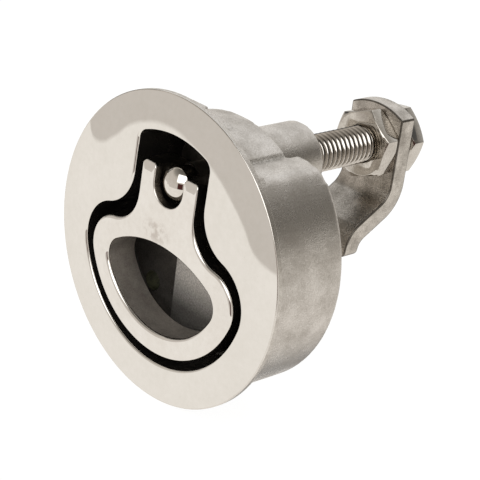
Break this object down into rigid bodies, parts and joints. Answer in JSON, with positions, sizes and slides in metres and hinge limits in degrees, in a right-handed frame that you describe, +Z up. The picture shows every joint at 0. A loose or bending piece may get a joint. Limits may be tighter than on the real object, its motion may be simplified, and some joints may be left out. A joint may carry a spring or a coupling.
{
  "type": "flush pull latch",
  "caption": "Round flush latch: a ring handle lies in a keyhole pocket and, lifted on its pin, lets a threaded spindle with an offset cam bar move back.",
  "frame": {"origin": "centre of the round flange, on the plane where the flange seats on the panel", "axes": "+Y goes back through the panel along the spindle, +Z up from the finger ring to the pivot, +X to the right seen from the front"},
  "size_m": [0.062, 0.0663, 0.062],
  "materials": {
    "housing_steel": "cast and blasted body with a mirror-polished flange",
    "handle_steel": "mirror-polished front with matte cast inner walls",
    "pin_steel": "drawn and ground",
    "spindle_steel": "turned, rolled thread, polished domed head",
    "bush_steel": "turned",
    "seal_rubber": "matte",
    "spring_steel": "drawn wire",
    "washer_steel": "punched",
    "ring_steel": "dark spring steel",
    "bar_steel": "satin, bent and tumbled",
    "nut_steel": "bright turned"
  },
  "bodies": {
    "cup": {"housing": "housing_steel", "thrust_bush": "bush_steel", "shaft_seal": "seal_rubber", "return_spring": "spring_steel"},
    "spindle_group": {"spindle": "spindle_steel", "pivot_pin": "pin_steel", "spring_washer": "washer_steel", "retaining_ring": "ring_steel", "cam_bar": "bar_steel", "inner_nut": "nut_steel", "outer_nut": "nut_steel"},
    "handle": {"pull_handle": "handle_steel"}
  },
  "joints": [
    {"name": "spindle_slide", "type": "slide", "parent": "cup", "child": "spindle_group", "axis": [0, 1, 0], "range_m": [0, 0.002], "deforming": ["return_spring"]},
    {"name": "handle_lift", "type": "hinge", "parent": "spindle_group", "child": "handle", "pos_m": [0, 0.0034, 0.0136], "axis": [-1, 0, 0], "range_deg": [0, 90]}
  ],
  "couplings": [
    {"joint": "spindle_slide", "follows": "handle_lift", "m_per_rad": 0.0012732}
  ]
}
